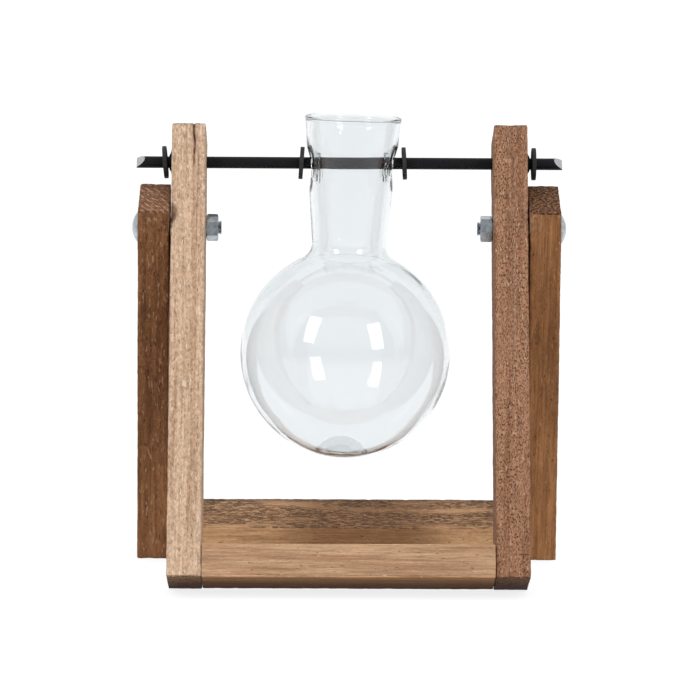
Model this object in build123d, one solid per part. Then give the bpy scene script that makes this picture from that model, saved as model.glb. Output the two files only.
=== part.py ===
from build123d import *
import os
from math import atan, cos, degrees, radians, sin, sqrt, tan

# A glass bulb vase for rooting cuttings, hung by its neck on a steel rod in a folding stand of sawn wood.
# Millimetres. X runs along the rod, Y away from the front, Z up. The origin is on the ground,
# midway between the feet, straight below the pivot bolts.

# Wooden stand, front and rear
inside_width = 121.5        # clear width between the front posts
post_width = 14.5           # front post, across the front
leg_width = 13.4            # rear leg, across the front
post_depth = 29.0           # both, front to back
post_above_bolt = 42.0      # pivot bolt to the top of a front post
leg_above_bolt = 13.9       # pivot bolt to the top of a rear leg
bolt_to_foot = 153.0        # pivot bolt to the square-cut lower end, along posts and legs
rail_height = 14.2
rail_depth = 26.8
rear_rail_lift = 2.0        # the rear rail sits this far above the ends of its legs
lean_deg = 20.0             # posts lean back and legs lean forward, off plumb
leg_splay_deg = 0.9         # the legs spread a little towards the ground
leg_gap = 0.6               # between a post and the leg beside it, at the bolt
edge_ease = 0.9             # rounding of the sawn edges
rail_ease = 0.5
foot_wear = 0.5             # height of edge worn flat where the feet touch the ground

# Knocked-out corner of the left post, just above its bolt
chip_half_length = 4.6
chip_bite = 2.5
chip_above_bolt = 2.5

# Carriage bolts and nuts of the pivot, M6
bolt_radius = 3.0
bolt_length = 35.0
bolt_play = 0.08            # radial running clearance in the front post
bolt_leg_play = 0.1
head_radius = 6.8
head_height = 2.9
head_edge = 0.4
head_seat = 0.15            # how far the head is drawn into the leg
square_neck_length = 3.4
thread_pitch = 1.0
thread_depth = 0.5
thread_tip = 0.6
nut_flat = 10.0             # across flats
nut_height = 5.0
nut_gap = 0.3               # nut to the inner face of the post
nut_bevel_deg = 30.0
left_nut_turn_deg = 1.5     # one corner points to the front
right_nut_turn_deg = -20.5  # one flat points to the front, tipped up a little

# Panel pins that fix the rails
pin_radius = 0.8
pin_length = 32.0
pin_head_radius = 1.4
pin_head_height = 0.7
pin_spacing = 13.0

# Steel rod, its rubber bushes and its rubber washers
rod_radius = 2.5
rod_length = 181.0
rod_above_bolt = 28.7       # along the posts
shear_length = 3.4          # length of the slanted face that the cutter left at each end
shear_share = 0.55          # part of the rod's diameter taken by that face
rod_play = 0.05             # radial clearance in bushes and washers
bush_radius = 3.6
bush_lip_radius = 6.0
bush_lip_edge = 0.35
bush_lip_tip = 0.55         # wall of the lip at its thin end
bush_lip_length = 1.3
washer_radius = 6.9
washer_thickness = 1.8
washer_ease = 0.3
seat_gap = 0.3              # washers stand this far off their neighbours
right_end_slack = 0.6       # the right end washer sits further out
right_neck_slack = 1.3      # the right neck washer sits further off the glass
left_end_tilt_deg = -4.5    # each washer sits a little askew on the rod
left_neck_tilt_deg = 4.0
right_neck_tilt_deg = -3.0

# Glass vase, measured from the rod's axis
rim_rise = 20.2             # rod's axis to the top of the rim
bulb_drop = 81.3            # rod's axis to the bulb's centre
bulb_radius = 45.0
bulb_wall = 1.6
neck_rim_radius = 20.7      # outside, at the rim
neck_foot_radius = 15.5     # outside, where the neck meets the bulb
neck_wall = 1.8
lip_radius = 1.2            # melted rim
shoulder_radius = 7.0       # outside fillet of neck and bulb
kick_radius = 9.0           # hollow pushed up into the base
kick_rise = 4.6
kick_ease = 1.6
base_wall = 3.4
inner_kick_radius = 10.5
vase_tilt_deg = 1.65        # the vase hangs a little out of plumb
vase_shift = 1.0            # neck's centre to the right of the stand's centre
hole_radius = 4.3           # each neck hole at its throat
hole_mouth_radius = 9.4     # each neck hole at the neck's outside
hole_depth = 4.4            # the glass is drawn this far inwards
hole_wall = 1.5
hole_lip_radius = 1.0
hang_gap = 0.1              # rod to the glass that hangs on it

# Places worked out from the sizes above
lean = radians(lean_deg)
bolt_z = bolt_to_foot * cos(lean) + post_depth / 2 * sin(lean) - foot_wear
rod_y = rod_above_bolt * sin(lean)
rod_z = bolt_z + rod_above_bolt * cos(lean)
post_inner = inside_width / 2
post_outer = post_inner + post_width
leg_inner = post_outer + leg_gap
leg_outer = leg_inner + leg_width
front_frame = Pos(0, 0, bolt_z) * Rot(-lean_deg, 0, 0)
rear_frame = Pos(0, 0, bolt_z) * Rot(lean_deg, 0, 0)
overrun = post_width


def along_x(shape, x=0, y=0, z=0):
    """Turns a shape made along Z so that it runs along X, and places it."""
    return Pos(x, y, z) * Rot(0, 90, 0) * shape


def x_cylinder(radius, x_from, x_to, y=0, z=0):
    """A cylinder along X between two places."""
    return along_x(Cylinder(radius, abs(x_to - x_from)), (x_from + x_to) / 2, y, z)


def spun_x(outline):
    """Spins an outline about the X axis. Its points are (place along X, radius)."""
    return revolve(make_face(Polyline(*outline, close=True)), Axis.X)


def above_ground(shape):
    """Cuts the worn flats where a sloping foot meets the ground."""
    reach = 4 * bolt_to_foot
    return shape - Pos(0, 0, -reach / 2) * Box(reach, reach, reach)


# Wooden posts, legs and rails
def eased_post(width, above, sharp_side):
    """A squared stick with its edges eased, but for the lower edge that stands on the ground."""
    height = above + bolt_to_foot
    stick = Pos(0, 0, (above - bolt_to_foot) / 2) * Box(width, post_depth, height)
    ends = stick.edges().filter_by(Axis.X).group_by(Axis.Z)[0].sort_by(Axis.Y)
    standing = ends[-1] if sharp_side > 0 else ends[0]
    return fillet([e for e in stick.edges() if not e.is_same(standing)], edge_ease)


def pin(side, x_head):
    """One panel pin along X, its head flush at x_head and its point towards the middle."""
    tip = x_head - side * pin_length
    shank = x_cylinder(pin_radius, tip, x_head)
    return shank + x_cylinder(pin_head_radius, x_head - side * pin_head_height, x_head)


def rail_pins(side, x_head, y_middle, lift=0):
    """The two pins at one end of a rail, in the frame of its posts."""
    z = rail_height / 2 - bolt_to_foot + lift
    places = (y_middle - pin_spacing / 2, y_middle + pin_spacing / 2)
    return [Pos(0, y, z) * pin(side, x_head) for y in places]


def front_post(side):
    stick = Pos(side * (post_inner + post_width / 2), 0, 0) * eased_post(post_width, post_above_bolt, 1)
    stick -= x_cylinder(bolt_radius + bolt_play, side * (post_inner - overrun), side * (post_outer + overrun))
    stick -= x_cylinder(bush_radius, side * (post_inner - overrun), side * (post_outer + overrun), 0, rod_above_bolt)
    for one in rail_pins(side, side * post_outer, front_rail_y):
        stick -= one
    if side < 0:
        stick -= chip()
    return above_ground(front_frame * stick)


def chip():
    """The bite of a ball centred outside the front outer corner of the left post."""
    # The ball passes through both ends of the chip on the corner, and bites in by chip_bite on the front.
    out = (chip_half_length**2 - chip_bite**2) / (2 * chip_bite)
    radius = sqrt(2 * out**2 + chip_half_length**2)
    return Pos(-post_outer - out, -post_depth / 2 - out, chip_above_bolt) * Sphere(radius)


def leg_place(side):
    """Carries a leg from its own middle to its splayed place in the rear frame."""
    hip = Pos(side * leg_inner, 0, 0) * Rot(0, -side * leg_splay_deg, 0)
    return hip * Pos(side * leg_width / 2, 0, 0)


def leg_blank(side):
    return leg_place(side) * eased_post(leg_width, leg_above_bolt, -1)


def rear_leg(side):
    stick = leg_blank(side)
    stick -= x_cylinder(bolt_radius + bolt_leg_play, side * (leg_inner - overrun), side * (leg_outer + overrun))
    stick -= square_neck(side)
    stick -= x_cylinder(head_radius + bolt_leg_play, side * (leg_outer - head_seat), side * (leg_outer + overrun))
    for one in rail_pins(side, rear_pin_head(side), rear_rail_y, rear_rail_lift):
        stick -= one
    return above_ground(rear_frame * stick)


def rail(length, y_middle, lift=0):
    bar = Pos(0, y_middle, rail_height / 2 - bolt_to_foot + lift) * Box(length, rail_depth, rail_height)
    return fillet(bar.edges().filter_by(Axis.X), rail_ease)


def rear_pin_head(side):
    """Where the leg's splayed outer face meets the height of the pins, a little sunk."""
    drop = bolt_to_foot - rail_height / 2 - rear_rail_lift
    return side * (leg_outer + drop * sin(radians(leg_splay_deg)) - head_seat)


front_rail_y = (rail_depth - post_depth) / 2     # flush with the front of the posts
rear_rail_y = (rail_depth - post_depth) / 2      # flush with the front of the legs


# Carriage bolt: domed head outside the leg, square neck in it, thread end past the nut
def square_neck(side):
    under_head = leg_outer - head_seat
    middle = under_head - square_neck_length / 2
    return Pos(side * middle, 0, 0) * Box(square_neck_length, 2 * bolt_radius, 2 * bolt_radius)


def pivot_bolt(side):
    under_head = leg_outer - head_seat
    tip = under_head - bolt_length
    crest = under_head + head_height
    edge = under_head + head_edge
    rise = head_height - head_edge
    ball = (head_radius**2 + rise**2) / (2 * rise)
    bend = head_radius / 2
    crown = crest - ball + sqrt(ball**2 - bend**2)
    dome = ThreePointArc((edge, head_radius), (crown, bend), (crest, 0))
    rest = Polyline((crest, 0), (under_head, 0), (under_head, head_radius), (edge, head_radius))
    head = revolve(make_face([dome, *rest.edges()]), Axis.X)
    outline = [(under_head, 0), (under_head, bolt_radius)]
    first = post_inner - nut_gap - nut_height - thread_pitch / 2
    grooves = int((first - thread_tip - tip) / thread_pitch + 1)
    for k in range(grooves):
        middle = first - k * thread_pitch
        outline += [(middle + thread_pitch / 2, bolt_radius), (middle, bolt_radius - thread_depth)]
    last = first - (grooves - 1) * thread_pitch - thread_pitch / 2
    outline += [(last, bolt_radius), (tip, bolt_radius - (last - tip)), (tip, 0)]
    bolt = head + spun_x(outline)
    bolt = bolt if side > 0 else mirror(bolt, Plane.YZ)
    return rear_frame * (bolt + square_neck(side))


def pivot_nut(side, turn_deg):
    """Hexagon nut against the inner face of the post, its corners bevelled at both ends."""
    corner = nut_flat / 2 / cos(radians(30))
    hexagon = Rot(0, 0, turn_deg) * RegularPolygon(nut_flat / 2, 6, major_radius=False)
    blank = extrude(hexagon, nut_height)
    bevel = (corner - nut_flat / 2) * tan(radians(nut_bevel_deg))
    barrel = make_face(Polyline(
        (0, 0), (nut_flat / 2, 0), (corner, bevel), (corner, nut_height - bevel),
        (nut_flat / 2, nut_height), (0, nut_height), close=True))
    blank &= revolve(Plane.XZ * barrel, Axis.Z)
    blank -= Pos(0, 0, nut_height / 2) * Cylinder(bolt_radius, nut_height)
    start = post_inner - nut_gap - nut_height
    x = start if side > 0 else -start - nut_height
    return Pos(0, 0, bolt_z) * along_x(blank, x)


# Rod, bushes and washers
def hanging_rod():
    rod = x_cylinder(rod_radius, -rod_length / 2, rod_length / 2)
    slope = degrees(atan(2 * rod_radius * shear_share / shear_length))
    for side in (-1, 1):
        # The cutter's face runs from inside the end up and inwards to the front.
        start = rod_radius - 2 * rod_radius * shear_share
        block = Pos(0, 0, overrun / 2) * Box(2 * overrun, 2 * overrun, overrun)
        rod -= Rot(45, 0, 0) * Pos(side * rod_length / 2, 0, start) * Rot(0, side * slope, 0) * block
    return Pos(0, rod_y, rod_z) * rod


def rod_bush(side):
    """Rubber bush: a barrel in the post's hole, with a lip on the outside that narrows to the rod."""
    bore = rod_radius + rod_play
    lip_end = post_outer + bush_lip_length
    middle = (post_outer + bush_lip_edge + bush_lip_length / 4, (bush_lip_radius + bore) / 2)
    sweep_in = ThreePointArc((post_outer + bush_lip_edge, bush_lip_radius), middle, (lip_end, bore + bush_lip_tip))
    rest = Polyline(
        (lip_end, bore + bush_lip_tip), (lip_end, bore), (post_inner, bore), (post_inner, bush_radius),
        (post_outer, bush_radius), (post_outer, bush_lip_radius), (post_outer + bush_lip_edge, bush_lip_radius))
    bush = revolve(make_face([sweep_in, *rest.edges()]), Axis.X)
    bush = bush if side > 0 else mirror(bush, Plane.YZ)
    return Pos(0, rod_y, rod_z) * bush


def washer(x, tilt_deg):
    """Rubber washer askew on the rod, its bore still along the rod."""
    disc = along_x(Cylinder(washer_radius, washer_thickness))
    disc = fillet(disc.edges(), washer_ease)
    disc = Rot(0, tilt_deg, 0) * disc
    disc -= x_cylinder(rod_radius + rod_play, -overrun, overrun)
    return Pos(x, rod_y, rod_z) * disc


def washer_reach(tilt_deg):
    """Half the width that a washer takes along the rod."""
    tilt = radians(abs(tilt_deg))
    return washer_thickness / 2 * cos(tilt) + washer_radius * sin(tilt)


# Glass vase
neck_slope = (neck_rim_radius - neck_foot_radius) / (rim_rise + bulb_drop - sqrt(bulb_radius**2 - neck_foot_radius**2))


def on_bulb(radius, across):
    """Height, above the bulb's centre, of a ball's surface at a distance from the axis."""
    return sqrt(radius**2 - across**2)


def vase_outline(neck_radius_top, neck_radius_foot, ball, hollow_radius, hollow_top):
    """Half section of the vase's outside or inside, from the base's middle up to the rim."""
    foot = (hollow_radius, -bulb_drop - on_bulb(ball, hollow_radius))
    half = hollow_radius / 2
    rise = hollow_top - foot[1]
    hollow_ball = (hollow_radius**2 + rise**2) / (2 * rise)
    hollow = ThreePointArc(
        (0, hollow_top), (half, hollow_top - hollow_ball + on_bulb(hollow_ball, half)), foot)
    join = (neck_radius_foot, -bulb_drop + on_bulb(ball, neck_radius_foot))
    side = ThreePointArc(foot, (ball, -bulb_drop), join)
    neck = Line(join, (neck_radius_top, rim_rise - lip_radius))
    return [hollow, side, neck]


def closed_section(edges):
    """Closes a half section along the axis and across the rim."""
    top = edges[-1] @ 1
    bottom = edges[0] @ 0
    return make_face([*edges, Line(top, (0, top.Y)), Line((0, top.Y), bottom)])


def soften(section, across, radius, high):
    """Rounds the corner of a section that lies at a distance from the axis, the high one or the low one."""
    near = section.vertices().filter_by(lambda v: abs(v.X - across) < across / 1000)
    corner = near.sort_by(Axis.Y)[-1 if high else 0]
    return fillet(corner, radius)


def glass_vase():
    outer_kick = -bulb_drop - on_bulb(bulb_radius, kick_radius) + kick_rise
    outside = closed_section(vase_outline(neck_rim_radius, neck_foot_radius, bulb_radius, kick_radius, outer_kick))
    outside = soften(outside, neck_foot_radius, shoulder_radius, True)
    outside = soften(outside, kick_radius, kick_ease, False)
    hollow_foot = neck_foot_radius - neck_wall
    inside = closed_section(vase_outline(
        neck_rim_radius - neck_wall, hollow_foot, bulb_radius - bulb_wall, inner_kick_radius, outer_kick + base_wall))
    inside = soften(inside, hollow_foot, shoulder_radius + neck_wall, True)
    inside = soften(inside, inner_kick_radius, kick_ease, False)
    lip = Pos(neck_rim_radius - lip_radius, rim_rise - lip_radius) * Circle(lip_radius)
    full = revolve(Plane.XZ * outside, Axis.Z)
    shell = full - revolve(Plane.XZ * inside, Axis.Z) + revolve(Plane.XZ * lip, Axis.Z)
    hang = Pos(vase_shift, 0, 0) * Rot(0, vase_tilt_deg, 0)
    shell = hang * shell
    full = hang * full
    for side in (-1, 1):
        shell = shell - neck_hole(side, 0) + (neck_hole(side, hole_wall) & full)
    return Pos(0, rod_y, rod_z) * shell


def neck_hole(side, wall):
    """With no wall, the funnel-shaped space of a neck hole. With a wall, the drawn-in glass round it."""
    # Measured outwards along X from the neck's outside.
    neck_here = neck_rim_radius - neck_slope * rim_rise
    slope = (hole_mouth_radius - hole_radius) / hole_depth
    far = neck_wall
    far_radius = hole_mouth_radius + slope * far
    throat = -hole_depth
    if wall:
        thick = wall * sqrt(1 + slope**2)
        ring = make_face(Polyline(
            (far, far_radius), (throat, hole_radius), (throat - wall / 2, hole_radius),
            (throat - wall / 2, hole_radius + thick - slope * wall / 2), (far, far_radius + thick), close=True))
        bead = Pos(throat, hole_radius + hole_lip_radius) * Circle(hole_lip_radius)
        shape = revolve(ring, Axis.X) + revolve(bead, Axis.X)
    else:
        back = throat - 2 * hole_lip_radius
        shape = spun_x([(far, 0), (far, far_radius), (throat, hole_radius), (back, hole_radius), (back, 0)])
    drop = hole_radius - rod_radius - hang_gap
    shape = Pos(neck_here, 0, 0) * shape
    shape = shape if side > 0 else mirror(shape, Plane.YZ)
    return Pos(vase_shift, 0, -drop) * shape


neck_at_rod = neck_rim_radius - neck_slope * rim_rise
left_end_x = -(post_outer + bush_lip_length + seat_gap + washer_reach(left_end_tilt_deg))
right_end_x = post_outer + bush_lip_length + seat_gap + right_end_slack + washer_reach(0)
tilt_push = washer_radius * tan(radians(vase_tilt_deg) + atan(neck_slope))
left_neck_x = vase_shift - neck_at_rod - tilt_push - seat_gap - washer_reach(left_neck_tilt_deg)
right_neck_x = vase_shift + neck_at_rod + tilt_push + right_neck_slack + washer_reach(right_neck_tilt_deg)

rear_rail_blank = rail(leg_inner + leg_outer, rear_rail_y, rear_rail_lift)
front_rail_bar = rail(inside_width, front_rail_y)
front_pins = [one for side in (-1, 1) for one in rail_pins(side, side * post_outer, front_rail_y)]
rear_pins = [
    one for side in (-1, 1) for one in rail_pins(side, rear_pin_head(side), rear_rail_y, rear_rail_lift)]
for one in front_pins:
    front_rail_bar -= one
for side in (-1, 1):
    # Each end is sawn to the inner face of its splayed leg.
    beyond = Pos(0, 0, -bolt_to_foot) * Box(leg_width, 2 * post_depth, 4 * rail_height)
    rear_rail_blank -= leg_place(side) * beyond
for one in rear_pins:
    rear_rail_blank -= one

parts = {
    "front_upright_left": front_post(-1),
    "front_upright_right": front_post(1),
    "front_rail": above_ground(front_frame * front_rail_bar),
    "front_rail_pins": front_frame * Compound(children=[Part() + one for one in front_pins]),
    "rear_leg_left": rear_leg(-1),
    "rear_leg_right": rear_leg(1),
    "rear_rail": above_ground(rear_frame * rear_rail_blank),
    "rear_rail_pins": rear_frame * Compound(children=[Part() + one for one in rear_pins]),
    "pivot_bolt_left": pivot_bolt(-1),
    "pivot_bolt_right": pivot_bolt(1),
    "pivot_nut_left": pivot_nut(-1, left_nut_turn_deg),
    "pivot_nut_right": pivot_nut(1, right_nut_turn_deg),
    "hanging_rod": hanging_rod(),
    "rod_bush_left": rod_bush(-1),
    "rod_bush_right": rod_bush(1),
    "end_washer_left": washer(left_end_x, left_end_tilt_deg),
    "end_washer_right": washer(right_end_x, 0),
    "neck_washer_left": washer(left_neck_x, left_neck_tilt_deg),
    "neck_washer_right": washer(right_neck_x, right_neck_tilt_deg),
    "glass_vase": glass_vase(),
}

os.makedirs("parts", exist_ok=True)
for name, shape in parts.items():
    export_step(shape, f"parts/{name}.step")
    box = shape.bounding_box()
    print(name, len(shape.solids()), round(shape.volume), box.min, box.max)
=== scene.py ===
# %% [markdown]
# # A hanging bulb vase in its folding wooden stand
#
# The vase is a blown glass bulb with a wide neck. A steel rod goes through two holes in the neck, and a
# folding stand of sawn sticks carries the rod. The construction model gives every joint, screw and
# size, so this lesson adds what it lacks: the waviness of sawn wood, the flow of melted glass, and the
# finish of each surface.

import math
from math import cos, pi, radians, sin, sqrt

import bmesh
import bpy
from mathutils import Matrix, Vector, noise


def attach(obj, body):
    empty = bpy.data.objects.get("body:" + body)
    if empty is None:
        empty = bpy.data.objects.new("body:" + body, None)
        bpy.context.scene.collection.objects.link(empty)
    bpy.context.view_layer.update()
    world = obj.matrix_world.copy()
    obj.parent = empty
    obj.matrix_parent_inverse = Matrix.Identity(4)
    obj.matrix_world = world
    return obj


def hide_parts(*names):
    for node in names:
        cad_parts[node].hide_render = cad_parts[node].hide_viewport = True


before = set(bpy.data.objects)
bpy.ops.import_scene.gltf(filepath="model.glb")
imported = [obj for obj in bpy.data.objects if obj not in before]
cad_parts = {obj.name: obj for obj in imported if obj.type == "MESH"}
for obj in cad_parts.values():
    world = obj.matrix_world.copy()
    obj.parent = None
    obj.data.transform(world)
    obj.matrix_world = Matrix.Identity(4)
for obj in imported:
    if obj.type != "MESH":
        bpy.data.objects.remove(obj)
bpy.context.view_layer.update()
mm = 0.001

# %% [markdown]
# ## Sizes and helpers that several pieces share
#
# These are the stand's own sizes in millimetres. Each stick is made lying true in its own straight
# frame, whose origin is on the pivot bolts' axis, and is then leaned into place. That keeps the sums
# short: a stick's top is a height above the bolt, whatever its lean.

# %% Shared sizes and helpers
BOLT_Z = 148.232
LEAN = radians(20.0)
SPLAY = radians(0.9)
# Width and depth of the posts and legs, depth and height of the rails.
POST = (14.5, 29.0)
LEG = (13.4, 29.0)
RAIL = (26.8, 14.2)
RAIL_Y = -1.1
# Heights above the bolt, the drop to the feet, and distances from the middle.
FOOT = 153.0
REAR_RAIL_LIFT = 2.0
POST_TOP = 42.0
LEG_TOP = 13.9
POST_X = 68.0
LEG_INNER = 75.85
POST_INNER = 60.75
ROD_UP = 28.7
ROD_Y = ROD_UP * sin(LEAN)
ROD_Z = BOLT_Z + ROD_UP * cos(LEAN)


def leaned(lean):
    """Carries a point from the straight frame of a stick, in millimetres, to its place in metres."""
    return Matrix.Scale(mm, 4) @ Matrix.Translation((0, 0, BOLT_Z)) @ Matrix.Rotation(lean, 4, "X")


FRONT = leaned(-LEAN)
REAR = leaned(LEAN)


def smooth(value):
    """Eases a number from 0 to 1 with no corner at either end."""
    value = min(1.0, max(0.0, value))
    return value * value * (3 - 2 * value)


def added(name, data):
    """Puts a camera, lamp or mesh into the scene as an object."""
    made = bpy.data.objects.new(name, data)
    bpy.context.scene.collection.objects.link(made)
    return made


def mesh_object(name, shape):
    """Turns a finished bmesh into an object of the scene."""
    mesh = bpy.data.meshes.new(name)
    shape.to_mesh(mesh)
    shape.free()
    return added(name, mesh)


# %% [markdown]
# ## The camera
#
# A long lens from under two metres away, six degrees above level, as small products are usually
# photographed. The stand is a little askew in the picture, so the camera is rolled by a third of a
# degree. FIELD is the width in metres that the picture spans at the vase.

# %% Camera
AIM = Vector((0.0, 0.0013, 0.100))
DISTANCE = 1.75
ELEVATION = radians(6.17)
YAW = radians(0.52)
ROLL = radians(0.35)
FIELD = 0.2978
SENSOR = 36
forward = Vector((sin(YAW) * cos(ELEVATION), cos(YAW) * cos(ELEVATION), -sin(ELEVATION)))
camera = added("camera", bpy.data.cameras.new("camera"))
camera.location = AIM - forward * DISTANCE
camera.rotation_euler = (
    forward.to_track_quat("-Z", "Y").to_matrix() @ Matrix.Rotation(ROLL, 3, "Z")
).to_euler()
camera.data.sensor_width = SENSOR
camera.data.lens = SENSOR * DISTANCE / FIELD
camera.data.shift_x = 0.002
camera.data.shift_y = -0.0128
camera.data.clip_end = 100
bpy.context.scene.camera = camera
bpy.context.scene.view_settings.view_transform = "Standard"
print("camera at", [round(v, 3) for v in camera.location], "lens", round(camera.data.lens, 1))

# %% [markdown]
# ## Light
#
# Two tall softboxes stand to the left and right of the camera. The bulb shows both of them twice,
# upright on its near wall and upside down on its far wall, and those reflections say where the lamps
# stand and how large they are. Behind the vase the paper is white, and behind the camera the room is
# dim. Glass needs both: the white shows through it, and the dim side draws the thin dark lines at its
# rim, its edges and the lips of its holes.

# %% Softboxes
def softbox(name, azimuth, elevation, wide, tall, watts, away=1.6):
    """A rectangular lamp that faces the vase. Its angles are those seen from the vase, 0 at the camera."""
    data = bpy.data.lights.new(name, "AREA")
    data.shape = "RECTANGLE"
    data.size = 2 * away * math.tan(radians(wide) / 2)
    data.size_y = 2 * away * math.tan(radians(tall) / 2)
    data.energy = watts
    lamp = added(name, data)
    a, e = radians(azimuth), radians(elevation)
    towards = Vector((sin(a) * cos(e), -cos(a) * cos(e), sin(e)))
    lamp.location = AIM + towards * away
    lamp.rotation_euler = (-towards).to_track_quat("-Z", "Y").to_euler()


softbox("softbox_left", -42, 28.5, 13, 27, 5.2)
softbox("softbox_right", 36, 22.5, 13.5, 26, 5.2)

# %% [markdown]
# ## Shader maths as plain expressions
#
# A procedural finish is a sum: noise here, minus pores there, times a mask. Written with nodes alone
# such a sum is long to read, so a small class wraps one socket and lets Python's own operators add the
# nodes. Numbers use Math nodes, vectors use Vector Math nodes, and colours are mixed with Mix nodes,
# because a Math node would turn a colour grey.

# %% The socket class
class Field:
    """One output socket: a number, vector or colour that changes over a surface."""

    def __init__(self, tree, socket):
        self.tree = tree
        self.socket = socket

    def make(self, kind, settings=(), inputs=(), out=0):
        """Any node: its type, its settings, and then the values or links of its sockets."""
        node = self.tree.nodes.new(kind)
        for key, value in dict(settings).items():
            setattr(node, key, value)
        for key, value in dict(inputs).items():
            if isinstance(value, Field):
                self.tree.links.new(value.socket, node.inputs[key])
            else:
                node.inputs[key].default_value = value
        return Field(self.tree, node.outputs[out])

    def is_vector(self):
        return self.socket.type == "VECTOR"

    def math(self, operation, *others):
        values = (self, *others)
        return self.make("ShaderNodeMath", {"operation": operation}, dict(enumerate(values)))

    def vector(self, operation, *others, out="Vector"):
        values = (self, *others)
        return self.make("ShaderNodeVectorMath", {"operation": operation}, dict(enumerate(values)), out)

    def combine(self, other, operation, swapped=False):
        first, second = (other, self) if swapped else (self, other)
        if self.is_vector():
            if isinstance(other, (int, float)):
                return self.make("ShaderNodeVectorMath", {"operation": "SCALE"}, {0: self, "Scale": other})
            return self.make("ShaderNodeVectorMath", {"operation": operation}, {0: first, 1: second})
        return self.make("ShaderNodeMath", {"operation": operation}, {0: first, 1: second})

    def __add__(self, other):
        return self.combine(other, "ADD")

    __radd__ = __add__

    def __sub__(self, other):
        return self.combine(other, "SUBTRACT")

    def __rsub__(self, other):
        return self.combine(other, "SUBTRACT", swapped=True)

    def __mul__(self, other):
        return self.combine(other, "MULTIPLY")

    __rmul__ = __mul__

    def part(self, axis):
        """One coordinate of a vector: 0, 1 or 2."""
        return self.make("ShaderNodeSeparateXYZ", {}, {0: self}, out=axis)

    def step(self, low, high):
        """A mask that eases from 0 at low to 1 at high."""
        ends = {"Value": self, "From Min": low, "From Max": high}
        return self.make("ShaderNodeMapRange", {"interpolation_type": "SMOOTHSTEP"}, ends)

    def near(self, place, reach):
        """A mask that is 1 at a place and fades to 0 within reach of it."""
        return 1 - (self - place).math("ABSOLUTE").step(0, reach)

    def mix(self, low, high):
        """A colour between two, with this mask as the share of the second."""
        low, high = [c if isinstance(c, Field) else (*c, 1) for c in (low, high)]
        return self.make("ShaderNodeMix", {"data_type": "RGBA"}, {0: self, 6: low, 7: high}, out=2)

    def noise(self, scale, detail=2.0, rough=0.5, shift=0.0, swirl=0.0):
        """Noise at this vector. The scale is in cycles per unit, one number or one per axis."""
        scales = (scale, scale, scale) if isinstance(scale, (int, float)) else scale
        place = self.vector("MULTIPLY", scales).vector("ADD", (shift, shift * 1.7, shift * 2.3))
        values = {"Vector": place, "Scale": 1.0, "Detail": detail, "Roughness": rough, "Distortion": swirl}
        return self.make("ShaderNodeTexNoise", {}, values)


def material(name):
    """An empty material, its output node and the object coordinates of its piece, in millimetres."""
    made = bpy.data.materials.new(name)
    made.use_nodes = True
    tree = made.node_tree
    tree.nodes.clear()
    output = tree.nodes.new("ShaderNodeOutputMaterial")
    coords = tree.nodes.new("ShaderNodeTexCoord")
    place = Field(tree, coords.outputs["Object"]) * (1 / mm)
    return made, output, place


def surface(output, place, **sockets):
    """The one shader of a plain solid finish. Underscores in the names stand for blanks."""
    inputs = {key.replace("_", " "): value for key, value in sockets.items()}
    shader = place.make("ShaderNodeBsdfPrincipled", {}, inputs)
    place.tree.links.new(shader.socket, output.inputs["Surface"])


def relief(place, height, depth):
    """Turns a height field into a normal. The depth is in millimetres for a height of 1."""
    return place.make("ShaderNodeBump", {}, {"Strength": 1.0, "Distance": depth * mm, "Height": height})


# %% [markdown]
# ## White paper
#
# The paper is a grey diffuse floor, so that it throws little light up at the wood. To the camera, and
# to glass and metal, it also glows, so that it reads as white and still keeps the soft shadow under the
# stand. The glow doesn't reach the wood, because only rays of those kinds see it. The paper ends half
# way to the camera, so there the glow fades. Only mirrored rays see it fade: the bulb's front mirrors
# that part, and a bright floor there would veil it.

# %% Floor and world
PAPER_FADE = (-1150, -330)


def paper():
    made, output, place = material("white_paper")
    tree = made.node_tree
    path = tree.nodes.new("ShaderNodeLightPath")
    seen = Field(tree, path.outputs["Is Camera Ray"])
    for ray in ("Is Glossy Ray", "Is Transmission Ray"):
        seen = seen.math("MAXIMUM", Field(tree, path.outputs[ray]))
    dull = place.make("ShaderNodeBsdfDiffuse", {}, {"Color": (0.22, 0.22, 0.22, 1)})
    plain = place.make("ShaderNodeBsdfDiffuse", {}, {"Color": (0.24, 0.24, 0.24, 1)})
    glow = place.make("ShaderNodeEmission", {}, {"Color": (1, 1, 1, 1), "Strength": 0.81})
    faint = place.make("ShaderNodeEmission", {}, {"Color": (1, 1, 1, 1), "Strength": 0.06})
    # A ray that goes through glass counts as glossy too, so it is let off the fade by its own output.
    near = place.part(1).step(*PAPER_FADE).math("MAXIMUM", 1 - Field(tree, path.outputs["Is Glossy Ray"]))
    near = near.math("MAXIMUM", Field(tree, path.outputs["Is Transmission Ray"]))
    light = place.make("ShaderNodeMixShader", {}, {0: near, 1: faint, 2: glow})
    lit = place.make("ShaderNodeAddShader", {}, {0: dull, 1: light})
    both = place.make("ShaderNodeMixShader", {}, {0: seen, 1: plain, 2: lit})
    tree.links.new(both.socket, output.inputs["Surface"])
    return made


def level_ring(shape, radius, z, segments):
    """Adds a level ring of points round the Z axis."""
    turns = [2 * pi * k / segments for k in range(segments)]
    return [shape.verts.new((radius * cos(t), radius * sin(t), z)) for t in turns]


def floor(reach=12.0, rings=6, segments=48):
    """A flat disc that reaches well past the frame."""
    shape = bmesh.new()
    last = [shape.verts.new((0, 0, 0))]
    for ring in range(1, rings + 1):
        now = level_ring(shape, reach * (ring / rings) ** 2, 0, segments)
        for k in range(segments):
            after = (k + 1) % segments
            if len(last) == 1:
                shape.faces.new((last[0], now[k], now[after]))
            else:
                shape.faces.new((last[k], now[k], now[after], last[after]))
        last = now
    made = mesh_object("paper_floor", shape)
    made.data.materials.append(paper())


floor()


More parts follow.
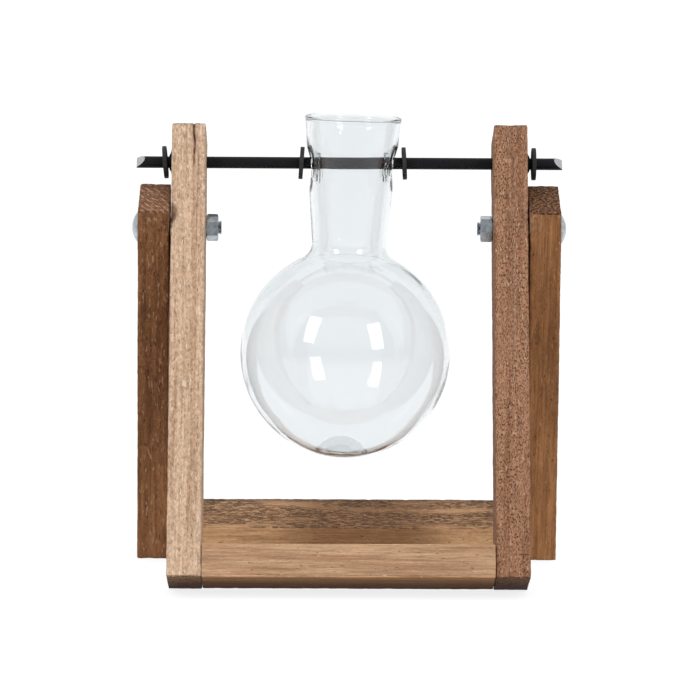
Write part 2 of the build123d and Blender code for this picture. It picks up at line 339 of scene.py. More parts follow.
def studio():
    """A grey room for the wood, and for glass and metal a white backdrop with a dim room in front of it."""
    world = bpy.data.worlds.new("studio")
    world.use_nodes = True
    tree = world.node_tree
    tree.nodes.clear()
    output = tree.nodes.new("ShaderNodeOutputWorld")
    coords = tree.nodes.new("ShaderNodeTexCoord")
    direction = Field(tree, coords.outputs["Generated"])
    room = direction.part(2).step(-0.1, 0.9).mix((0.45, 0.46, 0.47), (1.36, 1.41, 1.44))
    path = tree.nodes.new("ShaderNodeLightPath")
    through = Field(tree, path.outputs["Is Transmission Ray"])
    low = through.mix((0.15, 0.165, 0.18), (0.66, 0.68, 0.69))
    high = through.mix((0.55, 0.58, 0.60), (0.86, 0.885, 0.90))
    dim = direction.part(2).step(0.0, 0.7).mix(low, high)
    pale = direction.part(1).step(-0.5, 0.25).mix(dim, (0.93, 0.955, 0.96))
    clear = through.math("MAXIMUM", Field(tree, path.outputs["Is Glossy Ray"]))
    shade = Field(tree, path.outputs["Is Camera Ray"]).mix(clear.mix(room, pale), (1, 1, 1))
    back = shade.make("ShaderNodeBackground", {}, {"Color": shade, "Strength": 1.0})
    tree.links.new(back.socket, output.inputs["Surface"])
    return world


bpy.context.scene.world = studio()

# %% [markdown]
# ## Sawn sticks
#
# The stand is made of short ends of recycled wood, sawn square and hardly sanded. A plain box looks
# wrong at once: the saw leaves the faces wavy, the edges fray, and the corners wear. Each stick is
# therefore a fine lattice over a rounded box, whose points are pushed in by noise. The noise leans
# inwards, so that a stick keeps to its true size, and the push fades to nothing where bolts, rod and
# rails bear on it.

# %% The lattice of a stick
def lines(length, step, ease, extra=()):
    """Places of the lattice lines across one side, closer together at its two rounded edges."""
    half = length / 2
    edge = [half, half - 0.2 * ease, half - 0.55 * ease, half - ease, half - 2 * ease]
    inner = half - 2 * ease
    count = max(2, round(2 * inner / step))
    places = set(edge) | {-e for e in edge} | {inner * (2 * k / count - 1) for k in range(1, count)}
    places = {p for p in places if all(abs(p - e) > 0.15 for e in extra)} | set(extra)
    return sorted(places)


def lattice_box(xs, ys, zs):
    """A closed box whose six sides are grids. Returns the bmesh with its points at the grid's places."""
    shape = bmesh.new()
    spans = (len(xs) - 1, len(ys) - 1, len(zs) - 1)
    corners = {}

    def vertex(key):
        if key not in corners:
            corners[key] = shape.verts.new((xs[key[0]], ys[key[1]], zs[key[2]]))
        return corners[key]

    for axis in range(3):
        a, b = (axis + 1) % 3, (axis + 2) % 3
        for end in (0, spans[axis]):
            for i in range(spans[a]):
                for j in range(spans[b]):
                    ring = []
                    for di, dj in ((0, 0), (1, 0), (1, 1), (0, 1)):
                        key = [0, 0, 0]
                        key[axis], key[a], key[b] = end, i + di, j + dj
                        ring.append(vertex(tuple(key)))
                    shape.faces.new(ring if end else ring[::-1])
    return shape


def rounded(point, half, ease):
    """Moves a point of a box's surface onto the same box with eased edges. Also returns the way out."""
    core = Vector([min(h - ease, max(ease - h, p)) for p, h in zip(point, half)])
    out = (point - core).normalized()
    return core + out * ease, out


def sawn(point, half, seed, wave, fuzz, fray):
    """How far the saw, splinters and wear take a point in, in millimetres."""
    long_way = Vector((seed, seed * 0.37, -seed)) + point
    drift = noise.noise(Vector([c / 21 for c in long_way]))
    ripple = noise.noise(long_way / 4.3)
    fine = noise.noise(long_way / 1.3)
    room = sorted(h - abs(p) for p, h in zip(point, half))[1]
    edge = math.exp(-room / 0.9)
    nick = max(0.0, noise.noise(long_way / 2.6 + Vector((9, 4, 1))) + 0.15)
    # The noise runs from -1 to 1, and 0.2 and 0.3 are added so that it leans inwards.
    depth = wave * (0.2 + 0.6 * drift) + 0.3 * wave * (0.2 + 0.6 * ripple) + fuzz * (0.3 + 0.6 * fine)
    return depth + fray * edge * (0.1 + 1.6 * nick)


# %% [markdown]
# ## From lattice to stick
#
# One function makes every stick. It takes the stick's size and place, how rough the saw left it, spots
# that have to stay true, and a list of cuts that carve deeper. The drilled holes are real: a Boolean
# modifier takes the drill's cylinder out of the finished lattice.

# %% Stick maker
def drilled(piece, centre, radius, reach):
    """Takes a round hole along X out of a piece. The centre is in metres."""
    drill = bmesh.new()
    bmesh.ops.create_cone(
        drill, cap_ends=True, segments=40, radius1=radius * mm, radius2=radius * mm, depth=2 * reach * mm,
        matrix=Matrix.Translation(centre) @ Matrix.Rotation(pi / 2, 4, "Y"),
    )
    cutter = mesh_object("drill", drill)
    cut = piece.modifiers.new("hole", "BOOLEAN")
    cut.operation = "DIFFERENCE"
    cut.solver = "EXACT"
    cut.object = cutter
    bpy.context.view_layer.update()
    graph = bpy.context.evaluated_depsgraph_get()
    done = bpy.data.meshes.new_from_object(piece.evaluated_get(graph))
    piece.modifiers.clear()
    spent = (piece.data, cutter.data)
    piece.data = done
    bpy.data.objects.remove(cutter)
    for mesh in spent:
        bpy.data.meshes.remove(mesh)


def stick(name, size, centre, place, body, node, seed, ease, step, saw,
          quiet=(), cuts=(), holes=(), extra=((), (), ()), shear=None):
    """A sawn stick, with its size and centre in its straight frame. place carries that frame to the stand.

    saw holds the depths of waves, fuzz and frayed edges. quiet and holes hold spots, each with a radius.
    extra holds more lattice lines for each axis, and shear moves the finished points.
    """
    half = [s / 2 for s in size]
    shape = lattice_box(*[lines(size[k], step[k], ease, extra[k]) for k in range(3)])
    middle = Vector(centre)
    for vertex in shape.verts:
        true, out = rounded(vertex.co, half, ease)
        depth = sawn(vertex.co, half, seed, *saw)
        for spot, radius in quiet:
            depth *= smooth((true + middle - Vector(spot)).length / radius - 0.3)
        point = true + middle - out * depth
        for cut in cuts:
            point = cut(point, out)
        if shear:
            point = shear(point)
        point = place @ point
        vertex.co = (point.x, point.y, max(0.0, point.z))
    bmesh.ops.recalc_face_normals(shape, faces=shape.faces)
    piece = mesh_object(name, shape)
    for spot, radius in holes:
        drilled(piece, place @ Vector(spot), radius, size[0] * 1.2)
    piece.data.polygons.foreach_set("use_smooth", [True] * len(piece.data.polygons))
    piece.data.set_sharp_from_angle(angle=radians(50))
    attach(piece, body)
    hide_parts(node)
    print(name, len(piece.data.polygons), "faces")
    return piece


# %% [markdown]
# ## Two marks of the left post
#
# A splinter has broken off its outer front corner just above the bolt, and a drying crack runs down
# from its top. Both posts have lost the sharp corners of their tops as well. The splinter is the bite
# of a ball set outside the corner. The crack is a groove that wanders, so lattice lines are set close
# together beside it and bent along with it.

# %% Chip and crack
# The ball cuts the post's edge CHIP_HALF above and below its own height, and both faces CHIP_BITE from
# the edge.
CHIP_HALF = 4.6
CHIP_BITE = 2.5
CHIP_UP = 2.5
chip_out = (CHIP_HALF**2 - CHIP_BITE**2) / (2 * CHIP_BITE)
chip_ball = sqrt(2 * chip_out**2 + CHIP_HALF**2)
chip_middle = Vector((-POST_X - POST[0] / 2 - chip_out, -POST[1] / 2 - chip_out, CHIP_UP))
CRACK_X = 2.3
CRACK_LENGTH = 33.0
CORNER = 1.5


def chip(point, _out):
    """Moves the points inside the torn ball out to its surface."""
    away = point - chip_middle
    torn = chip_ball + 0.35 * noise.noise(point / 1.7)
    return chip_middle + away.normalized() * torn if away.length < torn else point


def worn_corner(point, _out):
    """Rounds the two corners that a post's top shows from the front."""
    side = 1 if point.x > 0 else -1
    across = abs(point.x - side * POST_X) - (POST[0] / 2 - CORNER)
    up = point.z - (POST_TOP - CORNER)
    if across <= 0 or up <= 0 or sqrt(across**2 + up**2) <= CORNER:
        return point
    shrink = CORNER / sqrt(across**2 + up**2)
    outer = 1 if point.x > side * POST_X else -1
    x = side * POST_X + outer * (POST[0] / 2 - CORNER + across * shrink)
    return Vector((x, point.y, POST_TOP - CORNER + up * shrink))


def wander(z):
    """How far the crack strays sideways at a height, in millimetres."""
    return 0.2 * sin(z / 3.9) + 0.15 * sin(z / 1.7 + 1)


def crack(point, out):
    """Sinks a groove into the front and the top, along a line that wanders."""
    from_line = point.x + POST_X - CRACK_X
    if out.y > -0.6 and out.z < 0.6:
        return point
    down = (POST_TOP - point.z) / CRACK_LENGTH
    if down > 1 or abs(from_line) > 3:
        return point
    point = point.copy()
    point.x += wander(point.z) * (1 - smooth(abs(from_line) / 3))
    open_now = smooth(1 - down) * (0.75 + 0.4 * noise.noise(Vector((3, 7, point.z / 2.4))))
    groove = 1.15 * open_now * math.exp(-((from_line / 0.33) ** 2))
    point.y += groove * max(0.0, -out.y)
    point.z -= 0.7 * groove * max(0.0, out.z)
    return point


# %% [markdown]
# ## Posts and front rail
#
# The posts are pale and reddish offcuts of different woods. Each has a hole for its bolt and a wider
# one for the rubber bush of the rod. The faces stay true round both holes, at the bolt's nut and where
# the rail is pinned on.

# %% Posts and front rail
BOLT_HOLE = 3.08
BUSH_HOLE = 3.6
crack_lines = tuple(CRACK_X + d for d in (-1.4, -0.7, -0.35, 0, 0.35, 0.7, 1.4))


def post(side, name, node, seed, saw, cuts, extra=()):
    inner, middle, outer = side * POST_INNER, side * POST_X, side * (POST_INNER + POST[0])
    bolt = [((inner, 0, 0), 9), ((outer, 0, 0), 8)]
    rod = [((inner, 0, ROD_UP), 7), ((outer, 0, ROD_UP), 9)]
    rail_end = ((inner, RAIL_Y, RAIL[1] / 2 - FOOT), 8)
    return stick(
        name, (*POST, POST_TOP + FOOT), (middle, 0, (POST_TOP - FOOT) / 2), FRONT, "front_frame", node,
        seed, ease=0.65, step=(1.3, 1.6, 1.5), saw=saw, quiet=[*bolt, *rod, rail_end], cuts=cuts,
        holes=[((middle, 0, 0), BOLT_HOLE), ((middle, 0, ROD_UP), BUSH_HOLE)], extra=(extra, (), ()),
    )


post_left = post(
    -1, "post_left", "front_upright_left", 11.3, (0.24, 0.10, 0.45),
    (worn_corner, chip, crack), crack_lines,
)
post_right = post(
    1, "post_right", "front_upright_right", 47.9, (0.26, 0.10, 0.45), (worn_corner,)
)
rail_size = (2 * POST_INNER, RAIL[0], RAIL[1])
front_rail = stick(
    "rail_front", rail_size, (0, RAIL_Y, RAIL[1] / 2 - FOOT), FRONT, "front_frame", "front_rail",
    seed=83.1, ease=0.5, step=(1.6, 1.4, 1.2), saw=(0.14, 0.05, 0.18),
)

# %% [markdown]
# ## Legs and rear rail
#
# The legs are bolted outside the posts and lean the other way. They spread by a degree towards the
# ground, so the rear rail between them is a little longer at the bottom than at the top.

# %% Legs and rear rail
LEG_HOLE = 3.1


def leg_place(side):
    hip = Matrix.Translation((side * LEG_INNER, 0, 0)) @ Matrix.Rotation(-side * SPLAY, 4, "Y")
    return REAR @ hip @ Matrix.Translation((side * LEG[0] / 2, 0, 0))


def leg(side, name, node, seed, saw):
    outer = side * LEG[0] / 2
    spots = [((outer, 0, 0), 12), ((-outer, 0, 0), 8), ((-outer, RAIL_Y, RAIL[1] / 2 - FOOT), 8)]
    return stick(
        name, (*LEG, LEG_TOP + FOOT), (0, 0, (LEG_TOP - FOOT) / 2), leg_place(side), "rear_frame", node,
        seed, ease=0.6, step=(1.3, 1.6, 1.5), saw=saw, quiet=spots, holes=[((0, 0, 0), LEG_HOLE)],
    )


leg_left = leg(-1, "leg_left", "rear_leg_left", 5.7, (0.2, 0.10, 0.5))
leg_right = leg(1, "leg_right", "rear_leg_right", 29.3, (0.2, 0.10, 0.5))


def spread(point):
    """Lengthens the rear rail with the drop below the bolts, as the splayed legs do."""
    reach = LEG_INNER / cos(SPLAY) + -point.z * math.tan(SPLAY)
    return Vector((point.x / LEG_INNER * reach, point.y, point.z))


rear_rail = stick(
    "rail_rear", (2 * LEG_INNER, RAIL[0], RAIL[1]), (0, RAIL_Y, RAIL[1] / 2 - FOOT + REAR_RAIL_LIFT), REAR,
    "rear_frame", "rear_rail", seed=61.7, ease=0.5, step=(1.6, 1.4, 1.2), saw=(0.2, 0.1, 0.25),
    shear=spread,
)

# %% [markdown]
# ## Wood as a finish
#
# Wood is a bundle of fibres, so every pattern in it is long along the grain and short across it. Five
# layers make it: wide bands of heartwood and sapwood, fine streaks, curls and fuzz that the saw leaves,
# open pores as short dark dashes, and pale flecks. The coordinates are turned into the stick's own
# frame first, so that the dashes lean with the stick. End grain is cut across the fibres and shows dots
# and the saw's own scratches instead.

# %% Wood finish
def grain_space(place, lean, lying):
    """Object coordinates turned to the stick's frame: across, across, and along the grain."""
    local = place.vector("SUBTRACT", (0, 0, BOLT_Z))
    turned = local.make(
        "ShaderNodeVectorRotate", {"rotation_type": "X_AXIS"}, {"Vector": local, "Angle": lean}
    )
    if not lying:
        return turned, turned
    parts = [turned.part(k) for k in (1, 2, 0)]
    return turned, turned.make("ShaderNodeCombineXYZ", {}, dict(enumerate(parts)))


def tinted(colour, share, low, high):
    """Multiplies a colour by a tint between two."""
    inputs = {0: 1.0, 6: colour, 7: share.mix(low, high)}
    return share.make("ShaderNodeMix", {"data_type": "RGBA", "blend_type": "MULTIPLY"}, inputs, out=2)


def wood(name, lean, lying, pale, deep, pore, fleck, seed, pores, flecks, band=(0.42, 0.62), streak=0.5,
         speckle=0.5, curl=(0.55, 0.16), dash=(1.5, 0.34), foot=0.0, ends=None, marks=None):
    """A wood finish. pores and flecks are the noise levels above which dashes start: higher means fewer.

    curl and dash are cycles per millimetre across and along the grain, and foot paints the lower end paler,
    which is painted light.
    """
    made, output, place = material(name)
    stand, grain = grain_space(place, lean, lying)
    bands = grain.noise((0.30, 0.30, 0.012), 3, 0.6, seed, 0.4).step(*band)
    streaks = grain.noise((1.3, 1.3, 0.04), 3, 0.7, seed + 3)
    curls = grain.noise((curl[0], curl[0], curl[1]), 3, 0.72, seed + 5, 0.8)
    fuzz = grain.noise((1.5, 1.5, 0.7), 2, 0.7, seed + 6)
    dashes = grain.noise((dash[0], dash[0], dash[1]), 1.5, 0.5, seed + 7).step(pores, pores + 0.10)
    gather = grain.noise((0.16, 0.16, 0.05), 2, 0.5, seed + 9).step(0.35, 0.65)
    light = grain.noise((1.1, 1.1, 0.28), 1, 0.5, seed + 13).step(flecks, flecks + 0.05)
    tone = (streaks - 0.5) * streak + (curls - 0.5) * speckle + (fuzz - 0.5) * (0.6 * speckle)
    # Painted light: the lower end of a leg is made paler.
    if foot:
        tone = tone + (1 - grain.part(2).step(-FOOT, -70)) * foot
    colour = tinted(bands.mix(pale, deep), tone.step(-0.5, 0.5), (0.44, 0.40, 0.36), (1.52, 1.56, 1.60))
    colour = (dashes * (0.35 + gather * 0.65)).mix(colour, pore)
    colour = (light * 0.85).mix(colour, fleck)
    height = streaks * 0.5 + fuzz * 0.4 + curls * 0.5 - dashes * 0.9
    if ends:
        top, dark, dot, saw_angle, contrast = ends
        end = grain.part(2).step(top - 0.9, top - 0.5)
        end = end.math("MAXIMUM", 1 - grain.part(2).step(0.2 - FOOT, 0.6 - FOOT))
        dots = grain.noise((0.9, 0.9, 0.9), 3, 0.7, seed + 17).step(0.43, 0.58)
        across = grain.part(0) * cos(saw_angle) + grain.part(1) * sin(saw_angle)
        rows = (across * 2.4 + grain.noise(0.2, 2, 0.5, seed + 19) * 6).math("SINE").step(0.5, 1.0)
        scratch = rows * grain.noise(0.3, 2, 0.6, seed + 23).step(0.42, 0.6)
        cut = (scratch * contrast).mix(dots.mix(dark, dot), tuple(min(1, 2.1 * c) for c in dark))
        colour = end.mix(colour, cut)
        height = height * (1 - end) + end * (scratch * 0.6 - dots * 0.9)
    if marks:
        colour, height = marks(colour, height, stand, grain)
    # Painted shade and light on the undersides: each is painted darker towards its back edge, where the
    # posts and front rail touch the floor, and paler and warmer towards its front edge.
    underside_painted_shade_and_light = tinted(colour, stand.part(1).step(-16, 14), (1.75, 1.60, 1.36), (0.17, 0.06, 0.02))
    colour = (1 - stand.part(2).step(0.25 - FOOT, 0.6 - FOOT)).mix(colour, underside_painted_shade_and_light)
    surface(
        output, place, Base_Color=colour, Roughness=0.12 * fuzz + 0.78, Normal=relief(place, height, 0.35),
        Specular_IOR_Level=0.3,
    )
    return made


# %% [markdown]
# ## Marks of single sticks
#
# Four sticks have something of their own: the crack and the chip of the left post, the grey vein and
# the rubbed edges of the right one, the pale corner of the right leg, and the rough dark top of the
# rear rail.

# %% Marks
def post_left_marks(colour, height, stand, grain):
    """The crack's dark line, a fine brown growth line beside it, and painted shade in the torn chip."""
    x = stand.part(0) + POST_X
    z = stand.part(2)
    bend = (z * (1 / 3.9)).math("SINE") * 0.2 + (z * (1 / 1.7) + 1).math("SINE") * 0.15
    down = z.step(POST_TOP - CRACK_LENGTH, POST_TOP - 3)
    broken = grain.noise((0.8, 0.8, 0.3), 2, 0.6, 4.2).step(0.35, 0.6)
    line = (x - bend).near(CRACK_X, 0.55) * down * (0.45 + broken * 0.55)
    wide = (x - bend).near(CRACK_X, 1.5) * down * 0.35
    growth = (x - grain.noise((0.02, 0.02, 0.03), 1, 0.5, 8) * 1.6).near(3.0, 0.25)
    growth = growth * z.step(-22, 0) * (1 - z.step(26, 34))
    colour = wide.mix(colour, (0.24, 0.11, 0.07))
    colour = (growth * 0.55).mix(colour, (0.20, 0.09, 0.05))
    colour = line.mix(colour, (0.07, 0.03, 0.02))
    # Painted shade: the hollow of the torn chip is painted darker.
    away = stand.vector("DISTANCE", tuple(chip_middle), out="Value")
    chip_painted_shade = 1 - away.step(chip_ball + 0.2, chip_ball + 0.7)
    colour = (chip_painted_shade * (0.35 + broken * 0.3)).mix(colour, (0.24, 0.115, 0.06))
    return colour, height - line * 1.5 - growth * 0.5


def post_right_marks(colour, height, stand, grain):
    """A faint grey line down the middle, and edges rubbed pale beside the bolt."""
    x = stand.part(0) - POST_X
    z = stand.part(2)
    vein = (x - grain.noise((0.02, 0.02, 0.04), 1, 0.5, 3) * 1.4).near(-0.3, 0.8) * z.step(-90, -30)
    colour = (vein * 0.4).mix(colour, (0.13, 0.085, 0.065))
    rubbed = x.math("ABSOLUTE").step(5.6, 6.9) * (z - 2).near(0, 9)
    rubbed = rubbed * grain.noise(0.9, 2, 0.6, 6).step(0.4, 0.6)
    return (rubbed * 0.7).mix(colour, (0.52, 0.36, 0.25)), height


def leg_right_marks(colour, height, stand, grain):
    """Rubbed pale on the front's upper inner corner, where the post's edge bears when the stand folds."""
    x = stand.part(0) - LEG_INNER
    rubbed = (1 - x.step(0.5, 7)) * stand.part(2).step(-12, 4)
    rubbed = rubbed * grain.noise((0.5, 0.5, 0.2), 3, 0.6, 8).step(0.42, 0.62)
    rubbed = rubbed * (1 - stand.part(2).step(LEG_TOP - 1.5, LEG_TOP - 0.6))
    return (rubbed * 0.5).mix(colour, (0.56, 0.36, 0.21)), height


def rear_rail_marks(colour, height, stand, grain):
    """The top is rough and dark from the saw, and the heartwood darkens the middle of the rail."""
    x = stand.part(0)
    drift = (stand.noise((0.03, 0.1, 0.1), 2, 0.6, 3) - 0.5) * 30
    middle = 1 - (x - 8 + drift).math("ABSOLUTE").step(14, 48)
    upper = REAR_RAIL_LIFT + RAIL[1] - FOOT
    top = stand.part(2).step(upper - 0.55, upper - 0.25)
    back = stand.part(1).step(6, 12.5) * top
    gouges = grain.noise((1.6, 1.6, 0.36), 3, 0.65, 31).step(0.47, 0.60)
    torn = gouges * grain.noise((0.14, 0.14, 0.03), 2, 0.5, 37).step(0.26, 0.52)
    pale = grain.noise((0.9, 0.9, 0.2), 2, 0.6, 43).step(0.56, 0.70)
    colour = (middle * 0.55).mix(colour, (0.31, 0.125, 0.04))
    colour = (top * 0.44).mix(colour, (0.175, 0.085, 0.038))
    colour = (back * 0.45).mix(colour, (0.10, 0.075, 0.055))
    colour = (top * pale * 0.5).mix(colour, (0.44, 0.28, 0.17))
    colour = (top * torn * 0.72).mix(colour, (0.09, 0.045, 0.025))
    return colour, height - top * torn * 1.6


# %% [markdown]
# ## The six woods
#
# Each wood has a name of its own. Its four colours are the pale and the deep band, the pores and the
# flecks, and after them comes the seed. The end grain has a top height, its colour, its dots, and the
# saw's angle and strength.

# %% Woods
woods = [
    wood(
        "pale_wood", LEAN, False, (0.59, 0.398, 0.268), (0.46, 0.285, 0.178), (0.26, 0.13, 0.075),
        (0.74, 0.58, 0.45), 2.0, pores=0.69, flecks=0.66, band=(0.40, 0.70), speckle=1.05, streak=0.6,
        curl=(0.75, 0.42), ends=(POST_TOP, (0.42, 0.27, 0.18), (0.20, 0.11, 0.07), 0.9, 0.4),
        marks=post_left_marks,
    ),
    wood(
        "red_wood", LEAN, False, (0.370, 0.184, 0.101), (0.28, 0.127, 0.066), (0.10, 0.036, 0.018),
        (0.50, 0.32, 0.21), 21.0, pores=0.54, flecks=0.64, speckle=0.85, dash=(2.2, 0.95), curl=(0.8, 0.45),
        ends=(POST_TOP, (0.26, 0.14, 0.085), (0.10, 0.045, 0.025), 0.7, 0.4), marks=post_right_marks,
    ),
    wood(
        "tan_wood", LEAN, True, (0.49, 0.295, 0.170), (0.385, 0.205, 0.112), (0.22, 0.10, 0.05),
        (0.62, 0.43, 0.28), 41.0, pores=0.69, flecks=0.72, streak=0.85, speckle=0.5, curl=(1.1, 0.09),
    ),
    wood(
        "dark_wood", -LEAN, False, (0.278, 0.120, 0.049), (0.182, 0.073, 0.027), (0.07, 0.026, 0.011),
        (0.46, 0.26, 0.145), 63.0, pores=0.64, flecks=0.65, streak=0.6, speckle=1.0, curl=(0.5, 0.16),
        foot=0.27, ends=(LEG_TOP, (0.285, 0.138, 0.070), (0.12, 0.053, 0.028), 0.55, 0.9),
    ),
    wood(
        "golden_wood", -LEAN, False, (0.415, 0.186, 0.074), (0.30, 0.126, 0.046), (0.12, 0.045, 0.018),
        (0.52, 0.31, 0.16), 85.0, pores=0.68, flecks=0.71, streak=0.8, speckle=0.85, curl=(0.4, 0.08),
        foot=0.16, ends=(LEG_TOP, (0.215, 0.092, 0.036), (0.028, 0.011, 0.005), 0.2, 0.35),
        marks=leg_right_marks,
    ),
    wood(
        "brown_wood", -LEAN, True, (0.86, 0.495, 0.255), (0.665, 0.36, 0.175), (0.22, 0.10, 0.05),
        (0.72, 0.50, 0.32), 101.0, pores=0.67, flecks=0.74, streak=0.6, speckle=0.5, marks=rear_rail_marks,
    ),
]
for piece, finish in zip((post_left, post_right, front_rail, leg_left, leg_right, rear_rail), woods):
    piece.data.materials.clear()
    piece.data.materials.append(finish)
print("woods", [finish.name for finish in woods])

# %% [markdown]
# ## Steel, zinc and rubber
#
# The rod was painted black and then cut with a bolt cutter, so its two slanted end faces are bare grey
# steel. The bolts and nuts are zinc plated: bright, a little blue, and faintly clouded. Rubber is
# nearly black and matt, with a soft bloom of dust. These pieces keep their construction meshes and only
# get finishes.

# %% Metal and rubber finishes
ROD_WIDE = 5.0
ROD_END = 90.5
SHEAR_LENGTH = 3.4
SHEAR_SHARE = 0.55


def bare_end(place, side):
    """A mask of the cutter's slanted face at one end of the rod."""
    slope = math.atan(ROD_WIDE * SHEAR_SHARE / SHEAR_LENGTH)
    tilt = Matrix.Rotation(pi / 4, 3, "X")
    normal = tilt @ Matrix.Rotation(side * slope, 3, "Y") @ Vector((0, 0, 1))
    rise = ROD_WIDE / 2 - ROD_WIDE * SHEAR_SHARE
    on_face = Vector((side * ROD_END, ROD_Y, ROD_Z)) + tilt @ Vector((0, 0, rise))
    face = normal.dot(on_face)
    return place.vector("DOT_PRODUCT", tuple(normal), out="Value").step(face - 0.10, face - 0.04)


def black_steel():
    made, output, place = material("black_steel")
    bare = bare_end(place, -1).math("MAXIMUM", bare_end(place, 1))
    drawn = place.noise((0.25, 3.0, 3.0), 3, 0.6, 2)
    dust = place.noise(0.8, 3, 0.6, 5).step(0.55, 0.8)
    paint = (dust * 0.4).mix((0.0068, 0.0062, 0.0076), (0.026, 0.023, 0.026))
    torn = place.noise(2.2, 3, 0.6, 11)
    steel = torn.mix((0.30, 0.30, 0.31), (0.72, 0.72, 0.73))
    surface(
        output, place, Base_Color=bare.mix(paint, steel), Metallic=bare * 0.85,
        Roughness=drawn * 0.15 + 0.42, Normal=relief(place, drawn * 0.3 + bare * torn, 0.12),
        Specular_IOR_Level=0.15,
    )
    return made


def zinc():
    made, output, place = material("zinc")
    cloud = place.noise(0.35, 3, 0.6, 3)
    grit = place.noise(2.4, 2, 0.6, 7)
    colour = cloud.step(0.35, 0.7).mix((0.30, 0.33, 0.36), (0.50, 0.515, 0.525))
    colour = (grit.step(0.60, 0.75) * 0.4).mix(colour, (0.20, 0.19, 0.17))
    surface(
        output, place, Base_Color=colour, Metallic=1.0, Roughness=cloud * 0.14 + 0.09,
        Normal=relief(place, grit, 0.02),
    )
    return made


def rubber():
    made, output, place = material("rubber")
    grit = place.noise(3.0, 3, 0.6, 1)
    bloom = place.noise(0.5, 3, 0.6, 9).step(0.45, 0.8)
    colour = (bloom * 0.6).mix((0.020, 0.020, 0.021), (0.055, 0.054, 0.055))
    surface(
        output, place, Base_Color=colour, Roughness=grit * 0.2 + 0.55, Normal=relief(place, grit, 0.05),
        Specular_IOR_Level=0.35,
    )
    return made


def wire_steel():
    made, output, place = material("wire_steel")
    rust = place.noise(1.5, 3, 0.6, 4)
    colour = rust.step(0.4, 0.75).mix((0.42, 0.41, 0.40), (0.25, 0.17, 0.12))
    surface(
        output, place, Base_Color=colour, Metallic=0.9, Roughness=rust * 0.3 + 0.3,
        Normal=relief(place, rust, 0.03),
    )
    return made


worn_by = {
    black_steel: ["hanging_rod"],
    zinc: ["pivot_bolt_left", "pivot_bolt_right", "pivot_nut_left", "pivot_nut_right"],
    rubber: [
        "rod_bush_left", "rod_bush_right", "end_washer_left", "end_washer_right", "neck_washer_left",
        "neck_washer_right",
    ],
    wire_steel: ["front_rail_pins", "rear_rail_pins"],
}
for finish, names in worn_by.items():
    made = finish()
    for name in names:
        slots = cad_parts[name].data.materials
        slots.clear()
        slots.append(made)
    print(made.name, len(names), "nodes")

# %% [markdown]
# ## The glass vase
#
# A vase like this is blown: the bulb swells from a tube, the rim is melted round, and the base is
# pushed in. The two holes are made hot as well. A tool pushes through the soft neck, and the glass
# flows inwards round it and ends in a rounded lip. So the vase is one skin: a profile turned round its
# axis for the outside, another for the inside, and at each hole a patch of rings that leads both skins
# in to the lip.

# %% Glass profile
SHIFT = 1.0
TILT = radians(1.65)
RIM = 20.2
DROP = 81.3
BALL = 45.0
BALL_WALL = 1.6
NECK_TOP = 20.7
NECK_FOOT = 15.5
NECK_WALL = 1.8
LIP = 1.2
SHOULDER = 7.0
KICK = 9.0
KICK_IN = 10.5
KICK_RISE = 4.6
BASE_WALL = 3.4
BALL_ROWS = 76
CAP_ROWS = 16
JOIN = -DROP + sqrt(BALL**2 - NECK_FOOT**2)
NECK_SLOPE = (NECK_TOP - NECK_FOOT) / (RIM - JOIN)


def neck_radius(z):
    """Outside radius of the neck at a height above the rod."""
    return NECK_TOP - NECK_SLOPE * (RIM - z)


def fillet_points(ball, foot, radius, steps=10):
    """The rounded corner between a neck line and a ball, from the neck down to the ball."""
    # The fillet's centre is one radius off the neck line and one radius off the ball.
    lean = math.atan(NECK_SLOPE)
    out_ball = ball + radius
    x = foot + radius
    for _ in range(40):
        z = -DROP + sqrt(out_ball**2 - x**2)
        on_line = foot + NECK_SLOPE * (z + radius * sin(lean) - (-DROP + sqrt(ball**2 - foot**2)))
        x = on_line + radius * cos(lean)
    start = pi - lean
    end = math.atan2(-DROP - z, -x)
    if end < 0:
        end += 2 * pi
    turn = [start + (end - start) * k / steps for k in range(steps + 1)]
    return [(x + radius * cos(t), z + radius * sin(t)) for t in turn]


def wall_profile(ball, foot, radius, hollow, hollow_top, levels):
    """One skin of the glass from under the lip down to the middle of the base, as (radius, height)."""
    bend = fillet_points(ball, foot, radius)
    points = [(foot + NECK_SLOPE * (z - JOIN), z) for z in levels if z > bend[0][1] + 0.4]
    points += bend
    start = math.asin(bend[-1][0] / ball)
    foot_height = -DROP - sqrt(ball**2 - hollow**2)
    end = pi - math.asin(hollow / ball)
    turn = [start + (end - start) * k / BALL_ROWS for k in range(1, BALL_ROWS + 1)]
    points += [(ball * sin(t), -DROP + ball * cos(t)) for t in turn]
    # The hollow is the cap of a smaller ball.
    rise = hollow_top - foot_height
    cap = (hollow**2 + rise**2) / (2 * rise)
    for k in range(1, CAP_ROWS + 1):
        r = hollow * (1 - k / CAP_ROWS)
        points.append((r, hollow_top - cap + sqrt(cap**2 - r**2)))
    return points


# The rows lie close together beside the holes, and wider apart above and below them.
HOLE_ROWS = [12.0 - 0.6 * k for k in range(46)]
UPPER_ROWS = [RIM - LIP - 0.2 - 1.1 * k for k in range(7) if RIM - LIP - 0.2 - 1.1 * k > 12.5]
LOWER_ROWS = [-15.6 - 1.2 * k for k in range(30)]
LEVELS = UPPER_ROWS + HOLE_ROWS + [z for z in LOWER_ROWS if z > -45]
outer_top = -DROP - sqrt(BALL**2 - KICK**2) + KICK_RISE
outer = wall_profile(BALL, NECK_FOOT, SHOULDER, KICK, outer_top, LEVELS)
inner = wall_profile(
    BALL - BALL_WALL, NECK_FOOT - NECK_WALL, SHOULDER + NECK_WALL, KICK_IN, outer_top + BASE_WALL, LEVELS
)
print("glass profiles", len(outer), len(inner), "rows")

# %% [markdown]
# ## Building the glass
#
# Each skin is a grid of rows and columns. Where a hole goes, a rectangle of the grid is left open, and
# rings lead from its outline to a circle and then inwards along a quarter of an ellipse, which is how a
# tool drags soft glass. The glass sags a little below the tool, so the mouth is longer there.

